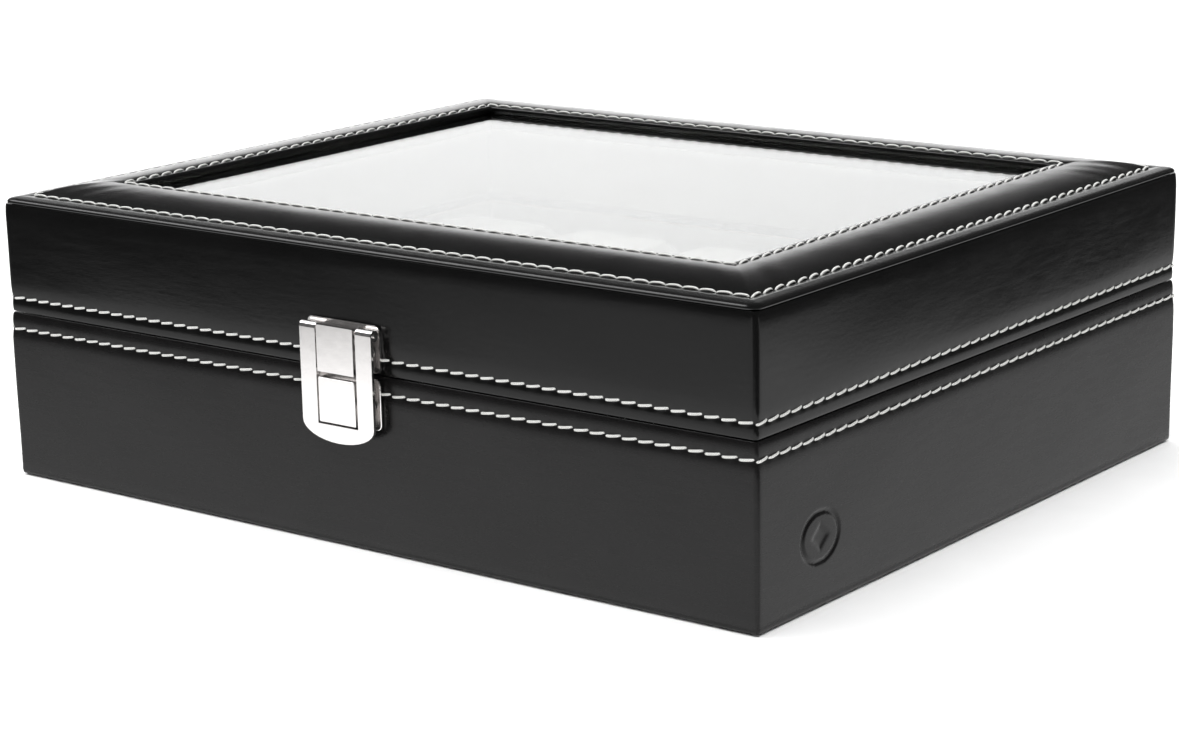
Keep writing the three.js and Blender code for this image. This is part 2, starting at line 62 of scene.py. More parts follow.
def middle_z(node):
    low, high = cad_box(node)
    return (low[2] + high[2]) / 2


# ---------------------------------------------------------------- sizes
# Stitches: a pitch along the seam, and a tube that leans and dives into the leather at both ends.
STITCH_PITCH = 4.77
STITCH_LENGTH = 4.7
STITCH_HALF_WIDTH = 0.34
STITCH_HALF_THICKNESS = 0.28
STITCH_SLANT = math.radians(8.0)
STITCH_RISE = 0.2
STITCH_SINK = 0.45
STITCH_END = 0.96
# Share of a seam's dip in which its stitches lie.
STITCH_SEAT = 0.75

# Latch catch: plate thickness, bevels and corner radii, and the nose that fills the flap's window.
CATCH_PLATE = 0.6
CATCH_EDGE = 0.15
CATCH_CORNER = 1.5
NOSE_HALF = (6.1, 5.8)
NOSE_CORNER = 0.3
NOSE_DROP = 0.05

# Leather's thickness, radius of the box's upright corners, and how closely meshes follow them.
LEATHER = 1.0
CORNER_RADIUS = 1.0
SMALLEST_CORNER = 0.35
LEATHER_STEP = STITCH_PITCH / 5
CORNER_STEPS = 8
PAD_CORNER_STEPS = 10

# A seam pulls the leather in, deepest at the needle holes, where it puckers.
SEAM_DEPTH = 0.42
SEAM_REACH = 1.25
SEAM_SOFTNESS = 0.3
PUCKER = 0.25
PUCKER_REACH = 0.5

# Soft creases on the padded frame, round a point on each corner's diagonal, and its slow swell.
CREASE_DEPTH = 0.07
CREASE_SPREAD = 30.0
CREASE_MIDDLE = 15.0
CREASE_REACH = 9.0
SWELL_DEPTH = 0.05

# Walls: unevenness of the glued hide, how deep the moved skin reaches, outward lean per millimetre
# of height, and how far each rim stands past the CAD's towards the other one.
WAVE_DEPTH = 0.035
SKIN_REACH = 2.6
WALL_LEAN = 0.009
RIM_SWELL = 0.2

# Length of a hide's curved stretch by an edge, and how far the hide has come in at that edge.
BASE_SHOULDER = (8.1, 0.95)
LID_SHOULDER = (3.0, 0.4)
LID_FOLD = (4.6, 0.45)

# A plain mark pressed into the right wall: places and half sizes are (along Y, along Z).
MARK_CENTRE = (-77.5, 18.0)
MARK_HALF = (7.8, 6.2)
MARK_LOZENGE = (3.4, 3.0)
MARK_LINE = 0.5
MARK_DEPTH = 0.4
MARK_MARGIN = 1.5
MARK_STEPS = 64

# Insets from the lid's faces, along X and along Y.
PAD_OUTER_SEAM = (5.3, 5.6)
PAD_INNER_SEAM = (22.1, 23.7)
WINDOW_INSET = (24.6, 25.8)

# Padded frame: height of its outer seam, rise from there to the inner seam, crown above the straight
# line between the two, inset of its rolled edge, and corner radii of the frame and of its seams.
PAD_SEAM_Z = 79.25
PAD_RISE = 2.35
PAD_CROWN = 1.025
PAD_EDGE = -0.6
PAD_CORNER = 2.6
PAD_SEAM_CORNER = 0.5
# Leather this close above the frame's lowest edge keeps its section.
PAD_UNMOVED = 1.7
GLASS_GAP = 0.2

# ---------------------------------------------------------------- camera
# One pinhole camera fitted to the box's edges, seams and latch. Lens and sensor are in millimetres.
CAMERA_PLACE = Vector((496.5, -643.9, 227.2)) * MM
CAMERA_AZIMUTH = math.radians(37.80)
CAMERA_TILT = math.radians(14.04)
CAMERA_ROLL = math.radians(-1.18)
CAMERA_LENS = 91.26
SENSOR_WIDTH = 36.0


def add_camera():
    forward = Vector((
        -math.sin(CAMERA_AZIMUTH) * math.cos(CAMERA_TILT),
        math.cos(CAMERA_AZIMUTH) * math.cos(CAMERA_TILT),
        -math.sin(CAMERA_TILT),
    ))
    level_right = forward.cross(Vector((0, 0, 1))).normalized()
    level_up = level_right.cross(forward)
    right = math.cos(CAMERA_ROLL) * level_right + math.sin(CAMERA_ROLL) * level_up
    up = right.cross(forward)
    data = bpy.data.cameras.new("camera")
    data.lens = CAMERA_LENS
    data.sensor_width = SENSOR_WIDTH
    camera = bpy.data.objects.new("camera", data)
    turn = Matrix((right, up, -forward)).transposed().to_4x4()
    camera.matrix_world = Matrix.Translation(CAMERA_PLACE) @ turn
    bpy.context.scene.collection.objects.link(camera)
    bpy.context.scene.camera = camera


# ---------------------------------------------------------------- material helpers
def new_material(name):
    material = bpy.data.materials.new(name)
    material.use_nodes = True
    tree = material.node_tree
    return material, tree, tree.nodes["Principled BSDF"]


def object_coordinates(tree, stretch=(1, 1, 1)):
    """Row-frame coordinates, in metres, stretched along each axis."""
    coordinates = tree.nodes.new("ShaderNodeTexCoord")
    mapping = tree.nodes.new("ShaderNodeMapping")
    mapping.inputs["Scale"].default_value = stretch
    tree.links.new(coordinates.outputs["Object"], mapping.inputs["Vector"])
    return mapping.outputs["Vector"]


def noise_texture(tree, vector, scale, detail=3.0, roughness=0.55):
    texture = tree.nodes.new("ShaderNodeTexNoise")
    texture.inputs["Scale"].default_value = scale
    texture.inputs["Detail"].default_value = detail
    texture.inputs["Roughness"].default_value = roughness
    tree.links.new(vector, texture.inputs["Vector"])
    return texture.outputs["Fac"]


def cells_texture(tree, vector, scale):
    texture = tree.nodes.new("ShaderNodeTexVoronoi")
    texture.inputs["Scale"].default_value = scale
    tree.links.new(vector, texture.inputs["Vector"])
    return texture.outputs["Distance"]


def remap(tree, value, low, high, from_low=0.3, from_high=0.7):
    """Maps a value from one range to another. Most noise lies between 0.3 and 0.7."""
    node = tree.nodes.new("ShaderNodeMapRange")
    node.inputs["From Min"].default_value = from_low
    node.inputs["From Max"].default_value = from_high
    node.inputs["To Min"].default_value = low
    node.inputs["To Max"].default_value = high
    tree.links.new(value, node.inputs["Value"])
    return node.outputs["Result"]


def colour_between(tree, value, dark, light, low=0.3, high=0.7):
    ramp = tree.nodes.new("ShaderNodeValToRGB")
    ramp.color_ramp.elements[0].position = low
    ramp.color_ramp.elements[0].color = (*dark, 1)
    ramp.color_ramp.elements[1].position = high
    ramp.color_ramp.elements[1].color = (*light, 1)
    tree.links.new(value, ramp.inputs["Fac"])
    return ramp.outputs["Color"]


def bump_chain(tree, shader, layers):
    """Bump from several height fields; each layer is (height, strength, depth in metres)."""
    normal = None
    for height, strength, depth in layers:
        bump = tree.nodes.new("ShaderNodeBump")
        bump.inputs["Strength"].default_value = strength
        bump.inputs["Distance"].default_value = depth
        tree.links.new(height, bump.inputs["Height"])
        if normal is not None:
            tree.links.new(normal, bump.inputs["Normal"])
        normal = bump.outputs["Normal"]
    tree.links.new(normal, shader.inputs["Normal"])


# ---------------------------------------------------------------- materials
def leather_material(name, roughness, tone, specular, streaks):
    """Coated black leather: fine pebble grain, level streaks from the roller, slightly uneven gloss.

    streaks is the strength of the bump that the level streaks make.
    """
    material, tree, shader = new_material(name)
    plain = object_coordinates(tree)
    level = object_coordinates(tree, (1, 1, 6))
    cloud = noise_texture(tree, plain, 38, 4)
    tree.links.new(
        colour_between(tree, cloud, tuple(0.8 * c for c in tone), tuple(1.2 * c for c in tone)),
        shader.inputs["Base Color"],
    )
    patches = noise_texture(tree, level, 110, 4)
    tree.links.new(remap(tree, patches, roughness - 0.03, roughness + 0.05), shader.inputs["Roughness"])
    shader.inputs["Specular IOR Level"].default_value = specular
    bump_chain(tree, shader, [
        (cells_texture(tree, plain, 900), 0.06, 0.00012),
        (noise_texture(tree, plain, 2600, 2), 0.04, 0.00008),
        (noise_texture(tree, level, 150, 3), streaks, 0.00013),
    ])
    return material


def suede_material(name, dark, light):
    """Short-napped suede cloth: a soft mottled pile with a sheen at grazing angles."""
    material, tree, shader = new_material(name)
    plain = object_coordinates(tree)
    nap = noise_texture(tree, plain, 90, 6, 0.7)
    tree.links.new(colour_between(tree, nap, dark, light), shader.inputs["Base Color"])
    shader.inputs["Roughness"].default_value = 0.95
    shader.inputs["Specular IOR Level"].default_value = 0.15
    shader.inputs["Sheen Weight"].default_value = 0.35
    shader.inputs["Sheen Roughness"].default_value = 0.45
    bump_chain(tree, shader, [
        (noise_texture(tree, plain, 2400, 3), 0.35, 0.00012),
        (noise_texture(tree, plain, 260, 3), 0.20, 0.0003),
    ])
    return material


def metal_material():
    """Nickel plate with a soft polish and faint handling marks."""
    material, tree, shader = new_material("polished_metal")
    plain = object_coordinates(tree)
    smears = noise_texture(tree, plain, 300, 4)
    shader.inputs["Metallic"].default_value = 1.0
    tree.links.new(
        colour_between(tree, smears, (0.83, 0.81, 0.80), (0.88, 0.86, 0.85)), shader.inputs["Base Color"],
    )
    tree.links.new(remap(tree, smears, 0.17, 0.22), shader.inputs["Roughness"])
    bump_chain(tree, shader, [(noise_texture(tree, plain, 420, 2), 0.06, 0.0002)])
    return material


def thread_material():
    """White twisted thread: the plies run aslant along each stitch, with painted shade darkening the grooves
    between them.
    """
    material, tree, shader = new_material("white_thread")
    along = tree.nodes.new("ShaderNodeUVMap")
    along.uv_map = "thread"
    plies = tree.nodes.new("ShaderNodeTexWave")
    plies.bands_direction = "DIAGONAL"
    plies.inputs["Scale"].default_value = 1.0
    plies.inputs["Distortion"].default_value = 0.6
    tree.links.new(along.outputs["UV"], plies.inputs["Vector"])
    # Painted shade: the colour is darker where the plies' bump is low, in the grooves between them.
    tree.links.new(
        colour_between(tree, plies.outputs["Fac"], (0.42, 0.42, 0.40), (0.74, 0.74, 0.72), 0.1, 0.6),
        shader.inputs["Base Color"],
    )
    shader.inputs["Roughness"].default_value = 0.7
    shader.inputs["Sheen Weight"].default_value = 0.2
    bump_chain(tree, shader, [(plies.outputs["Fac"], 0.6, 0.0001)])
    return material


def glass_material():
    """Clear pane. Rays from the lamps pass straight through it at a tenth of their strength, a painted
    shadow that keeps the inside dimmer than clear glass would.
    """
    material, tree, shader = new_material("window_glass")
    plain = object_coordinates(tree)
    shader.inputs["Base Color"].default_value = (0.97, 0.99, 0.985, 1)
    shader.inputs["Transmission Weight"].default_value = 1.0
    shader.inputs["IOR"].default_value = 1.5
    tree.links.new(remap(tree, noise_texture(tree, plain, 30, 3), 0.0, 0.03), shader.inputs["Roughness"])
    path = tree.nodes.new("ShaderNodeLightPath")
    # Painted shadow: direct lamp light through the pane keeps only a tenth of its strength.
    clear = tree.nodes.new("ShaderNodeBsdfTransparent")
    clear.inputs["Color"].default_value = (0.10, 0.105, 0.10, 1)
    mix = tree.nodes.new("ShaderNodeMixShader")
    tree.links.new(path.outputs["Is Shadow Ray"], mix.inputs["Fac"])
    tree.links.new(shader.outputs["BSDF"], mix.inputs[1])
    tree.links.new(clear.outputs["BSDF"], mix.inputs[2])
    tree.links.new(mix.outputs["Shader"], tree.nodes["Material Output"].inputs["Surface"])
    return material


def board_material(name, dark, light, roughness, specular):
    """Fibreboard: matted fibres, pressed flatter along Z."""
    material, tree, shader = new_material(name)
    fibres = noise_texture(tree, object_coordinates(tree, (1, 1, 4)), 700, 5, 0.7)
    tree.links.new(colour_between(tree, fibres, dark, light), shader.inputs["Base Color"])
    shader.inputs["Roughness"].default_value = roughness
    shader.inputs["Specular IOR Level"].default_value = specular
    bump_chain(tree, shader, [(fibres, 0.3, 0.0002)])
    return material


def felt_material():
    """Black pressed felt."""
    material, tree, shader = new_material("black_felt")
    fibres = noise_texture(tree, object_coordinates(tree), 1500, 5, 0.75)
    tree.links.new(
        colour_between(tree, fibres, (0.006, 0.006, 0.007), (0.03, 0.03, 0.032)),
        shader.inputs["Base Color"],
    )
    shader.inputs["Roughness"].default_value = 1.0
    shader.inputs["Sheen Weight"].default_value = 0.3
    bump_chain(tree, shader, [(fibres, 0.6, 0.0003)])
    return material


def floor_material():
    """Pale paper sweep, almost even."""
    material, tree, shader = new_material("pale_floor")
    paper = noise_texture(tree, object_coordinates(tree), 40, 3)
    tree.links.new(
        colour_between(tree, paper, (0.92, 0.92, 0.92), (0.95, 0.95, 0.95)), shader.inputs["Base Color"],
    )
    shader.inputs["Roughness"].default_value = 0.9
    shader.inputs["Specular IOR Level"].default_value = 0.1
    return material


BASE_LEATHER = leather_material(
    "base_leather", roughness=0.26, tone=(0.0046, 0.0043, 0.0044), specular=0.24, streaks=0.03,
)
LID_LEATHER = leather_material(
    "lid_leather", roughness=0.17, tone=(0.0030, 0.0030, 0.0030), specular=0.24, streaks=0.12,
)
PAD_LEATHER = leather_material(
    "pad_leather", roughness=0.20, tone=(0.0030, 0.0030, 0.0030), specular=0.45, streaks=0.0,
)
LINING_SUEDE = suede_material("lining_suede", (0.165, 0.160, 0.145), (0.215, 0.208, 0.190))
CUSHION_SUEDE = suede_material("cushion_suede", (0.240, 0.232, 0.213), (0.310, 0.300, 0.277))
METAL = metal_material()
THREAD = thread_material()
GLASS = glass_material()
BOARD = board_material("fibreboard", (0.30, 0.21, 0.13), (0.50, 0.38, 0.25), 0.9, 0.5)
# The window shows the edges of these boards, so they are stained black.
BLACK_BOARD = board_material("black_stained_board", (0.004,) * 3, (0.012,) * 3, 0.7, 0.2)
FELT = felt_material()


# ---------------------------------------------------------------- mesh helpers
def face_outward(mesh):
    work = bmesh.new()
    work.from_mesh(mesh)
    bmesh.ops.recalc_face_normals(work, faces=work.faces)
    work.to_mesh(mesh)
    work.free()
    mesh.update()


def put_mesh(name, points, faces, material, body, uv=None):
    """A mesh object from points in millimetres, riding on a body."""
    mesh = bpy.data.meshes.new(name)
    mesh.from_pydata((np.asarray(points, float) * MM).tolist(), [], faces)
    if uv is not None:
        layer = mesh.uv_layers.new(name="thread")
        corners = np.empty(len(mesh.loops), int)
        mesh.loops.foreach_get("vertex_index", corners)
        layer.data.foreach_set("uv", np.asarray(uv, np.float32)[corners].ravel())
    mesh.polygons.foreach_set("use_smooth", [True] * len(mesh.polygons))
    mesh.materials.append(material)
    face_outward(mesh)
    piece = bpy.data.objects.new(name, mesh)
    bpy.context.scene.collection.objects.link(piece)
    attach(piece, body)
    return piece


def grid_faces(rows, columns):
    """Quads of a grid that closes on itself both ways."""
    faces = []
    for row in range(rows):
        after = (row + 1) % rows
        for column in range(columns):
            beside = (column + 1) % columns
            faces.append((
                row * columns + column,
                after * columns + column,
                after * columns + beside,
                row * columns + beside,
            ))
    return faces


def loft_faces(rows, columns, first=0):
    """Quads between rings of points, then a cap on the first ring and one on the last."""
    faces = []
    for row in range(rows - 1):
        start = first + row * columns
        for column in range(columns):
            a = start + column
            b = start + (column + 1) % columns
            faces.append((a, b, b + columns, a + columns))
    last = first + (rows - 1) * columns
    faces.append(tuple(reversed(range(first, first + columns))))
    faces.append(tuple(range(last, last + columns)))
    return faces


# A rounded rectangle is walked anticlockwise from the left end of its front: edge, corner, edge, corner...
# A station is (side 0 to 3, True on the side's far corner, share of the way along it).
CORNER_SIGNS = np.array([(1, -1), (1, 1), (-1, 1), (-1, -1)], float)
RIGHT_SIDE = 1


def stations_along(half_x, half_y, radius, spacing, corner_steps, fine=None):
    """Stations about a spacing apart. fine is (side, low share, high share, steps) of a closer stretch."""
    found = []
    for side in range(4):
        length = 2 * ((half_x, half_y)[side % 2] - radius)
        steps = max(1, round(length / spacing))
        shares = np.arange(steps) / steps
        if fine is not None and fine[0] == side:
            coarse = shares[(shares < fine[1]) | (shares > fine[2])]
            shares = np.sort(np.concatenate([coarse, np.linspace(fine[1], fine[2], fine[3])]))
        found += [(side, 0, share) for share in shares]
        found += [(side, 1, i / corner_steps) for i in range(corner_steps)]
    return np.array(found, float)


def outline(half_x, half_y, radius, stations):
    """Points and outward normals of a rounded rectangle at the stations."""
    side = stations[:, 0].astype(int)
    corner = stations[:, 1]
    share = stations[:, 2]
    centres = CORNER_SIGNS * (half_x - radius, half_y - radius)
    start = np.where(corner[:, None] > 0, centres[side], centres[(side - 1) % 4])
    centre = start + (centres[side] - start) * share[:, None]
    angle = -math.pi / 2 + math.pi / 2 * (side + corner * share)
    normal = np.stack([np.cos(angle), np.sin(angle)], 1)
    return centre + radius * normal, normal


def walked_length(points):
    steps = np.linalg.norm(np.roll(points, -1, 0) - points, axis=1)
    return np.concatenate([[0], np.cumsum(steps)[:-1]]), steps.sum()


def seam_phase(half_x, half_y, radius, stations):
    """How many stitches each station lies along a seam."""
    points, _ = outline(half_x, half_y, radius, stations)
    length, total = walked_length(points)
    count = round(total / STITCH_PITCH)
    return length / total * count


def ring(name, half, radius, profile, stations, material, body, shape):
    """A closed section swept round a rounded rectangle.

    The profile is rows of (inset along X, inset along Y, z). shape(points, normals) moves the swept
    points, which come as an array of station by profile row by 3.
    """
    rows = []
    normals = []
    for inset_x, inset_y, z in profile:
        corner = max(radius - min(inset_x, inset_y), SMALLEST_CORNER)
        points, normal = outline(half[0] - inset_x, half[1] - inset_y, corner, stations)
        rows.append(np.column_stack([points, np.full(len(points), z)]))
        normals.append(normal)
    points = shape(np.stack(rows, 1), np.stack(normals, 1))
    faces = grid_faces(points.shape[0], points.shape[1])
    return put_mesh(name, points.reshape(-1, 3), faces, material, body)


# ---------------------------------------------------------------- stitches
TUBE_SIDES = 8
TUBE_STEPS = 10


def stitched_seam(name, half, radius, height, tilt, replaced, body):
    """Separate stitches round a rounded rectangle.

    tilt is the surface normal's angle above the horizontal. Each stitch dives into the leather at its ends.
    """
    stations = stations_along(half[0], half[1], radius, 1.0, CORNER_STEPS)
    path, normal = outline(half[0], half[1], radius, stations)
    length, total = walked_length(path)
    count = round(total / STITCH_PITCH)
    pitch = total / count
    closed_length = np.append(length, total)
    closed_path = np.vstack([path, path[:1]])
    closed_normal = np.vstack([normal, normal[:1]])

    def at(distance, table):
        wrapped = np.mod(distance, total)
        return np.stack([np.interp(wrapped, closed_length, table[:, i]) for i in range(2)], 1)

    # Along a stitch, t runs from -1 to 1. The powers give it blunt ends and a flat top that dives late.
    t = np.linspace(-1, 1, TUBE_STEPS)
    taper = np.sqrt(np.clip(1 - (STITCH_END * t) ** 6, 0, 1))
    lift = STITCH_RISE - (STITCH_RISE + STITCH_SINK) * np.abs(t) ** 3.2
    around = np.arange(TUBE_SIDES) / TUBE_SIDES * 2 * math.pi
    points = []
    faces = []
    uv = []
    for stitch in range(count):
        distance = (stitch + 0.5) * pitch + t * STITCH_LENGTH / 2
        spine = at(distance, closed_path)
        out = at(distance, closed_normal)
        out /= np.linalg.norm(out, axis=1)[:, None]
        outward = np.column_stack([out * math.cos(tilt), np.full(len(t), math.sin(tilt))])
        across = np.column_stack([-out * math.sin(tilt), np.full(len(t), math.cos(tilt))])
        slant = t * STITCH_LENGTH / 2 * math.tan(STITCH_SLANT)
        centre = np.column_stack([spine, np.full(len(t), height)])
        centre += outward * lift[:, None] + across * slant[:, None]
        for step in range(TUBE_STEPS):
            wide = STITCH_HALF_WIDTH * taper[step] * np.cos(around)
            thick = STITCH_HALF_THICKNESS * taper[step] * np.sin(around)
            points.append(centre[step] + np.outer(wide, across[step]) + np.outer(thick, outward[step]))
            uv.append(np.column_stack([np.full(TUBE_SIDES, t[step] * STITCH_LENGTH / 2), around / math.pi]))
        faces += loft_faces(TUBE_STEPS, TUBE_SIDES, stitch * TUBE_STEPS * TUBE_SIDES)
    piece = put_mesh(name, np.vstack(points), faces, THREAD, body, uv=np.vstack(uv))
    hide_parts(replaced)


# ---------------------------------------------------------------- leather shells
def needle_dip(distance, phase):
    """Depth of the pulled-in leather at a distance from a seam, a little deeper at the needle holes.

    phase counts stitches along the seam at each station, the first axis of distance.
    """
    softened = np.sqrt(distance ** 2 + SEAM_SOFTNESS ** 2) - SEAM_SOFTNESS
    between_holes = (1 - np.cos(2 * math.pi * phase))[:, None]
    pulled_less = PUCKER * between_holes * np.exp(-softened / PUCKER_REACH)
    return SEAM_DEPTH * np.exp(-softened / SEAM_REACH) * (1 - pulled_less)


def face_waves(points):
    """Slight unevenness of a glued hide, in millimetres, from long waves that cross each other."""
    x, y, z = np.moveaxis(points, -1, 0)
    return WAVE_DEPTH * (
        np.sin(x / 17 + z / 9 + 1.3) * np.sin(y / 21 - z / 13)
        + np.sin((x + y) / 31 + z / 7 + 0.4)
        + 0.6 * np.sin((x - y) / 11 + z / 5 + 2.1)
    )


def pressed_mark(points):
    """Depth of a plain oval ring round a lozenge, pressed into the right wall near the front corner."""
    along = points[..., 1] - MARK_CENTRE[0]
    up = points[..., 2] - MARK_CENTRE[1]
    radius = np.hypot(along / MARK_HALF[0], up / MARK_HALF[1])
    oval = np.exp(-((radius - 1) * min(MARK_HALF) / MARK_LINE) ** 4)
    lozenge = 1 / (1 + np.exp(9 * (np.abs(along) / MARK_LOZENGE[0] + np.abs(up) / MARK_LOZENGE[1] - 1)))
    return MARK_DEPTH * np.maximum(oval, lozenge) * (points[..., 0] > 0)


def wall_shape(seam_z, half, stations, marked):
    """Pulls the wall in along its seam, and gives it its waves, its lean and its mark."""
    phase = seam_phase(half[0], half[1], CORNER_RADIUS, stations)

    def shape(points, normals):
        edge = (np.abs(points[..., :2]) - np.array(half)).max(-1)
        outside = edge > -SKIN_REACH
        move = needle_dip(points[..., 2] - seam_z, phase) + face_waves(points) + WAVE_DEPTH
        move -= WALL_LEAN * points[..., 2]
        if marked:
            move += pressed_mark(points)
        moved = points.copy()
        moved[..., :2] -= normals * (move * outside)[..., None]
        return moved

    return shape


def shoulder(distance, size):
    """Inset of leather that curves away over a board's edge, at a distance from that edge.

    size is (length of the curved stretch, how far the leather has come in at its end).
    """
    length, depth = size
    share = np.clip(1 - distance / length, 0, 1)
    return depth * (1 - np.sqrt(1 - share ** 2))


# Distances from an edge at which its tightest curve gets a row.
EDGE_STEPS = np.array([0.2, 0.1, 0.04, 0.01, 0.0])


def base_profile():
    """Section of the base's cover: up the outside, in over the rim, and back along its inner face."""
    low, high = cad_box("base_leather_wrap")
    rim = high[2] + RIM_SWELL
    foot = low[2]
    inner = cad_half("base_leather_wrap")[0] - cad_half("base_lining")[0] + LEATHER
    low_mark = MARK_CENTRE[1] - MARK_HALF[1] - MARK_MARGIN
    high_mark = MARK_CENTRE[1] + MARK_HALF[1] + MARK_MARGIN
    # Rows are close together where the leather has the mark, the seam or the rim's curve.
    heights = np.concatenate([
        np.linspace(1.6, low_mark - 1, 4),
        np.arange(low_mark, high_mark, 0.45),
        np.linspace(high_mark + 0.5, 37.6, 7),
        np.arange(38.2, rim - 0.25, 0.3),
        rim - EDGE_STEPS,
    ])
    outer = [(0.9, foot), (0.45, foot + 0.1), (0.15, foot + 0.45)]
    outer += [(shoulder(rim - z, BASE_SHOULDER), z) for z in heights]
    outer += [(BASE_SHOULDER[1] + 0.4, rim), (inner - 1.2, rim), (inner - 0.4, rim - 0.15)]
    outer += [(inner, rim - 0.6), (inner, rim - LEATHER), (LEATHER + 0.6, rim - LEATHER)]
    outer += [(LEATHER, rim - LEATHER - 0.6), (LEATHER, 20.0), (LEATHER, foot)]
    return [(inset, inset, z) for inset, z in outer]


def lid_profile():
    """Section of the lid's cover: out along the rim, up the outside, and back along its inner face."""
    low, high = cad_box("lid_leather_wrap")
    rim = low[2] - RIM_SWELL
    top = high[2]
    inner = cad_half("lid_leather_wrap")[0] - cad_half("lid_lining")[0] + LEATHER
    # Rows are close together where the leather has the seam or curves over an edge.
    heights = np.concatenate([
        rim + EDGE_STEPS[::-1],
        np.arange(rim + 0.4, 56.0, 0.3),
        np.linspace(56.5, 72.2, 12),
        np.arange(72.6, top - 0.25, 0.3),
        top - EDGE_STEPS,
    ])
    outer = [(inner, rim + 0.6), (inner - 0.4, rim + 0.15), (inner - 1.2, rim), (LID_SHOULDER[1] + 0.4, rim)]
    outer += [(shoulder(z - rim, LID_SHOULDER) + shoulder(top - z, LID_FOLD), z) for z in heights]
    outer += [(LID_FOLD[1] + 0.4, top), (LID_FOLD[1] + 0.6, top - 0.3), (LID_FOLD[1] + 0.6, 60.0)]
    outer += [(LID_FOLD[1] + 0.6, rim + LEATHER), (inner, rim + LEATHER)]
    return [(inset, inset, z) for inset, z in outer]


def wrap(name, node, profile, seam_node, material, body, marked=False):
    """A leather cover in place of a CAD wrap, with closer stations where the mark is pressed."""
    half = cad_half(node)
    fine = None
    if marked:
        straight = half[1] - CORNER_RADIUS
        middle = (MARK_CENTRE[0] + straight) / (2 * straight)
        reach = (MARK_HALF[0] + MARK_MARGIN) / (2 * straight)
        fine = (RIGHT_SIDE, middle - reach, middle + reach, MARK_STEPS)
    stations = stations_along(half[0], half[1], CORNER_RADIUS, LEATHER_STEP, CORNER_STEPS, fine)
    shape = wall_shape(middle_z(seam_node), half, stations, marked)
    piece = ring(name, half, CORNER_RADIUS, profile, stations, material, body, shape)
    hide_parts(node)


def add_covers():
    wrap(
        "base_leather_cover", "base_leather_wrap", base_profile(), "base_stitching", BASE_LEATHER, "base",
        marked=True,
    )
    wrap("lid_leather_cover", "lid_leather_wrap", lid_profile(), "lid_stitching", LID_LEATHER, "lid")


# ---------------------------------------------------------------- padded top frame
# The rolled edge bulges down to the wall's top and rounds over towards the outer seam.
# Its rows are (inset from the edge, height above the pad's foot).
PAD_ROLL = (
    (1.1, 0.0), (0.85, -0.3), (0.35, -0.33), (0.08, -0.15), (0.0, 0.1),
    (0.1, 0.4), (0.35, 0.68), (0.75, 0.9), (1.3, 1.05),
)
# From the inner seam to the window the leather turns down: (share of the way, drop).
PAD_LIP = ((0.15, 0.0), (0.3, 0.0), (0.5, 0.03), (0.7, 0.1), (0.86, 0.25), (0.96, 0.5), (1.0, 0.8))


def pad_profile():
    """Section of the padded frame, from its lower outer edge over the crown and down to the glass.

    Its rows are insets from the lid's faces.
    """
    foot = cad_box("top_pad")[0][2]
    glass_top = cad_box("glass_pane")[1][2]
    outer_seam = np.array(PAD_OUTER_SEAM)
    inner_seam = np.array(PAD_INNER_SEAM)
    window = np.array(WINDOW_INSET)
    rebate = window - (np.array(cad_half("glass_pane")) - (np.array(cad_half("lid_leather_wrap")) - window))
    edge = np.full(2, PAD_EDGE)
    rows = [(edge + inset, foot + height) for inset, height in PAD_ROLL]
    start = edge + PAD_ROLL[-1][0]
    shelf = foot + PAD_ROLL[-1][1]
    # From the rolled edge up to the outer seam, over the crown to the inner seam, and down the lip.
    for share in np.linspace(0.12, 1, 12):
        z = shelf + (PAD_SEAM_Z - shelf) * math.sin(share * math.pi / 2)
        rows.append((start + (outer_seam - start) * share, z))
    for share in np.linspace(0.02, 1, 46):
        z = PAD_SEAM_Z + PAD_RISE * share + PAD_CROWN * 4 * share * (1 - share)
        rows.append((outer_seam + (inner_seam - outer_seam) * share, z))
    top = PAD_SEAM_Z + PAD_RISE
    for share, drop in PAD_LIP:
        rows.append((inner_seam + (window - inner_seam) * share, top - drop))
    over_glass = glass_top + GLASS_GAP
    rows += [(window, over_glass), (rebate - GLASS_GAP, over_glass), (rebate - GLASS_GAP, foot)]
    return [(inset[0], inset[1], z) for inset, z in rows]


def pad_shape(half, stations):
    """Dips the pad at its two seams and draws soft creases out of its corners."""
    seams = []
    for seam in (PAD_OUTER_SEAM, PAD_INNER_SEAM):
        seam_half = np.array(half) - np.array(seam)
        corner = max(PAD_CORNER - min(seam), SMALLEST_CORNER)
        phase = seam_phase(seam_half[0], seam_half[1], corner, stations)
        seams.append((seam_half, phase))

    def shape(points, _):
        moved = points.copy()
        upper = points[..., 2] > points[..., 2].min() + PAD_UNMOVED
        for seam_half, phase in seams:
            distance = (np.abs(points[..., :2]) - seam_half).max(-1)
            moved[..., 2] -= needle_dip(distance, phase) * upper
        # Two ripples across each corner's diagonal, which turn changes from corner to corner.
        from_edges = np.array(half) - np.abs(points[..., :2])
        diagonal = from_edges[..., 0] - from_edges[..., 1]
        along = from_edges.mean(-1)
        near = np.exp(-(diagonal / CREASE_SPREAD) ** 2 - ((along - CREASE_MIDDLE) / CREASE_REACH) ** 2)
        turn = points[..., 0] * 0.02 + points[..., 1] * 0.03
        ripple = np.sin(diagonal / 1.9 + 0.12 * along * np.sin(turn)) * np.sin(diagonal / 5.3 + turn + 1.0)
        moved[..., 2] += CREASE_DEPTH * near * ripple * upper
        swell = np.sin(points[..., 0] / 19 + 0.7) * np.sin(points[..., 1] / 16 + 1.9)
        moved[..., 2] += SWELL_DEPTH * swell * upper
        return moved

    return shape


def add_pad():
    half = cad_half("lid_leather_wrap")
    stations = stations_along(half[0], half[1], PAD_CORNER, LEATHER_STEP, PAD_CORNER_STEPS)
    shape = pad_shape(half, stations)
    name = "padded_top_frame"
    piece = ring(name, half, PAD_CORNER, pad_profile(), stations, PAD_LEATHER, "lid", shape)
    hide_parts("top_pad")


